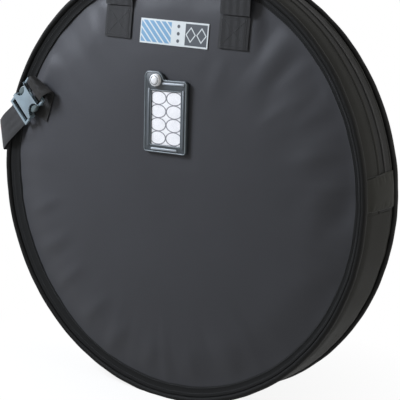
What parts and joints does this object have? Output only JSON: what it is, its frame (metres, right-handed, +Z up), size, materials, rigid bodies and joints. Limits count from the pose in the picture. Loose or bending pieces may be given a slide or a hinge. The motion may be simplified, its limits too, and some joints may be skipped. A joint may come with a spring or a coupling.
{
  "type": "cymbal bag",
  "caption": "Round padded cymbal bag standing on its rim, with a zipped lid half, webbing handles, a card tag, a buckled side strap and padded dividers inside.",
  "frame": {"origin": "centre of the small flat on the rim that the bag stands on, midway between the two pipings", "axes": "+Z up, -Y out of the front panel with the tag, +X to the right as seen from the front"},
  "size_m": [0.6731, 0.133, 0.7464],
  "materials": {
    "panel_nylon": "woven nylon with a slight sheen",
    "gusset_nylon": "woven nylon",
    "piping": "nylon tape over a cord",
    "foam": "closed-cell foam",
    "lining": "plain lining cloth",
    "webbing": "ribbed webbing",
    "zip_tape": "woven zip tape",
    "zip_teeth": "moulded coil",
    "zip_metal": "dark plated metal",
    "label": "woven label",
    "tag_rubber": "moulded soft plastic",
    "card": "printed card",
    "clear_sheet": "clear sheet",
    "white_plastic": "moulded",
    "buckle_plastic": "moulded acetal"
  },
  "bodies": {
    "shell": {"rear_panel_cover": "panel_nylon", "rear_panel_foam": "foam", "rear_panel_lining": "lining", "front_panel_lower_cover": "panel_nylon", "front_panel_lower_foam": "foam", "front_panel_lower_lining": "lining", "gusset_lower_cover": "gusset_nylon", "gusset_lower_foam": "foam", "gusset_lower_lining": "lining", "gusset_upper_rear_cover": "gusset_nylon", "gusset_upper_rear_foam": "foam", "gusset_upper_rear_lining": "lining", "piping_front_lower": "piping", "piping_rear": "piping", "zip_tape_rear": "zip_tape", "zip_teeth_rear": "zip_teeth", "rear_handle_patch_left": "webbing", "rear_handle_patch_right": "webbing"},
    "lid": {"front_panel_upper_cover": "panel_nylon", "front_panel_upper_foam": "foam", "front_panel_upper_lining": "lining", "gusset_upper_front_cover": "gusset_nylon", "gusset_upper_front_foam": "foam", "gusset_upper_front_lining": "lining", "piping_front_upper": "piping", "zip_tape_front": "zip_tape", "zip_teeth_front": "zip_teeth", "zip_end_patch_left": "gusset_nylon", "zip_end_patch_right": "gusset_nylon", "front_handle_patch_left": "webbing", "front_handle_patch_right": "webbing", "woven_label": "label", "tag_frame": "tag_rubber", "tag_card": "card", "tag_window": "clear_sheet", "tag_button": "white_plastic", "buckle_tab": "webbing"},
    "front_handle": {"front_handle": "webbing"},
    "rear_handle": {"rear_handle": "webbing"},
    "zip_slider_left": {"zip_slider_left": "zip_metal"},
    "zip_slider_right": {"zip_slider_right": "zip_metal"},
    "zip_pull_left": {"zip_pull_left": "zip_metal"},
    "zip_pull_right": {"zip_pull_right": "zip_metal"},
    "buckle_socket": {"buckle_socket": "buckle_plastic"},
    "side_strap": {"side_strap": "webbing", "buckle_plug": "buckle_plastic"},
    "buckle_prong_lower": {"buckle_prong_lower": "buckle_plastic"},
    "buckle_prong_upper": {"buckle_prong_upper": "buckle_plastic"},
    "divider_front": {"divider_front": "lining"},
    "divider_rear": {"divider_rear": "lining"}
  },
  "joints": [
    {"name": "lid_fold", "type": "hinge", "parent": "shell", "child": "lid", "pos_m": [0, -0.0573, 0.33232], "axis": [1, 0, 0], "range_deg": [0, 110]},
    {"name": "front_handle_swing", "type": "hinge", "parent": "lid", "child": "front_handle", "pos_m": [0, -0.05304, 0.58582], "axis": [1, 0, 0], "range_deg": [0, 160]},
    {"name": "rear_handle_swing", "type": "hinge", "parent": "shell", "child": "rear_handle", "pos_m": [0, 0.052, 0.58582], "axis": [1, 0, 0], "range_deg": [-160, 0]},
    {"name": "zip_slider_left_run", "type": "hinge", "parent": "lid", "child": "zip_slider_left", "pos_m": [0, 0.0135, 0.32732], "axis": [0, 1, 0], "range_deg": [-72, 0]},
    {"name": "zip_slider_right_run", "type": "hinge", "parent": "lid", "child": "zip_slider_right", "pos_m": [0, 0.0135, 0.32732], "axis": [0, 1, 0], "range_deg": [0, 72]},
    {"name": "zip_pull_left_flip", "type": "hinge", "parent": "zip_slider_left", "child": "zip_pull_left", "pos_m": [-0.01039, 0.0135, 0.65996], "axis": [0, 1, 0], "range_deg": [0, 90]},
    {"name": "zip_pull_right_flip", "type": "hinge", "parent": "zip_slider_right", "child": "zip_pull_right", "pos_m": [0.01039, 0.0135, 0.65996], "axis": [0, 1, 0], "range_deg": [-90, 0]},
    {"name": "buckle_socket_swing", "type": "hinge", "parent": "lid", "child": "buckle_socket", "pos_m": [-0.25347, -0.06513, 0.44385], "axis": [-0.6997, 0, 0.7145], "range_deg": [0, 60]},
    {"name": "side_strap_swing", "type": "hinge", "parent": "lid", "child": "side_strap", "pos_m": [-0.3287, -0.0409, 0.36032], "axis": [-0.1003, 0, -0.995], "range_deg": [0, 100]},
    {"name": "buckle_prong_lower_press", "type": "hinge", "parent": "side_strap", "child": "buckle_prong_lower", "pos_m": [-0.27653, -0.05781, 0.40133], "axis": [-0.1118, -0.9877, -0.1094], "range_deg": [0, 7], "stiffness_Nm_per_rad": 2, "deforming": ["buckle_prong_lower"]},
    {"name": "buckle_prong_upper_press", "type": "hinge", "parent": "side_strap", "child": "buckle_prong_upper", "pos_m": [-0.29647, -0.05781, 0.42169], "axis": [-0.1118, -0.9877, -0.1094], "range_deg": [-7, 0], "stiffness_Nm_per_rad": 2, "deforming": ["buckle_prong_upper"]},
    {"name": "divider_front_lean", "type": "hinge", "parent": "shell", "child": "divider_front", "pos_m": [0, -0.0126, 0.01092], "axis": [1, 0, 0], "range_deg": [-0.8, 1.8]},
    {"name": "divider_rear_lean", "type": "hinge", "parent": "shell", "child": "divider_rear", "pos_m": [0, 0.0126, 0.01092], "axis": [1, 0, 0], "range_deg": [-1.8, 0.8]}
  ]
}
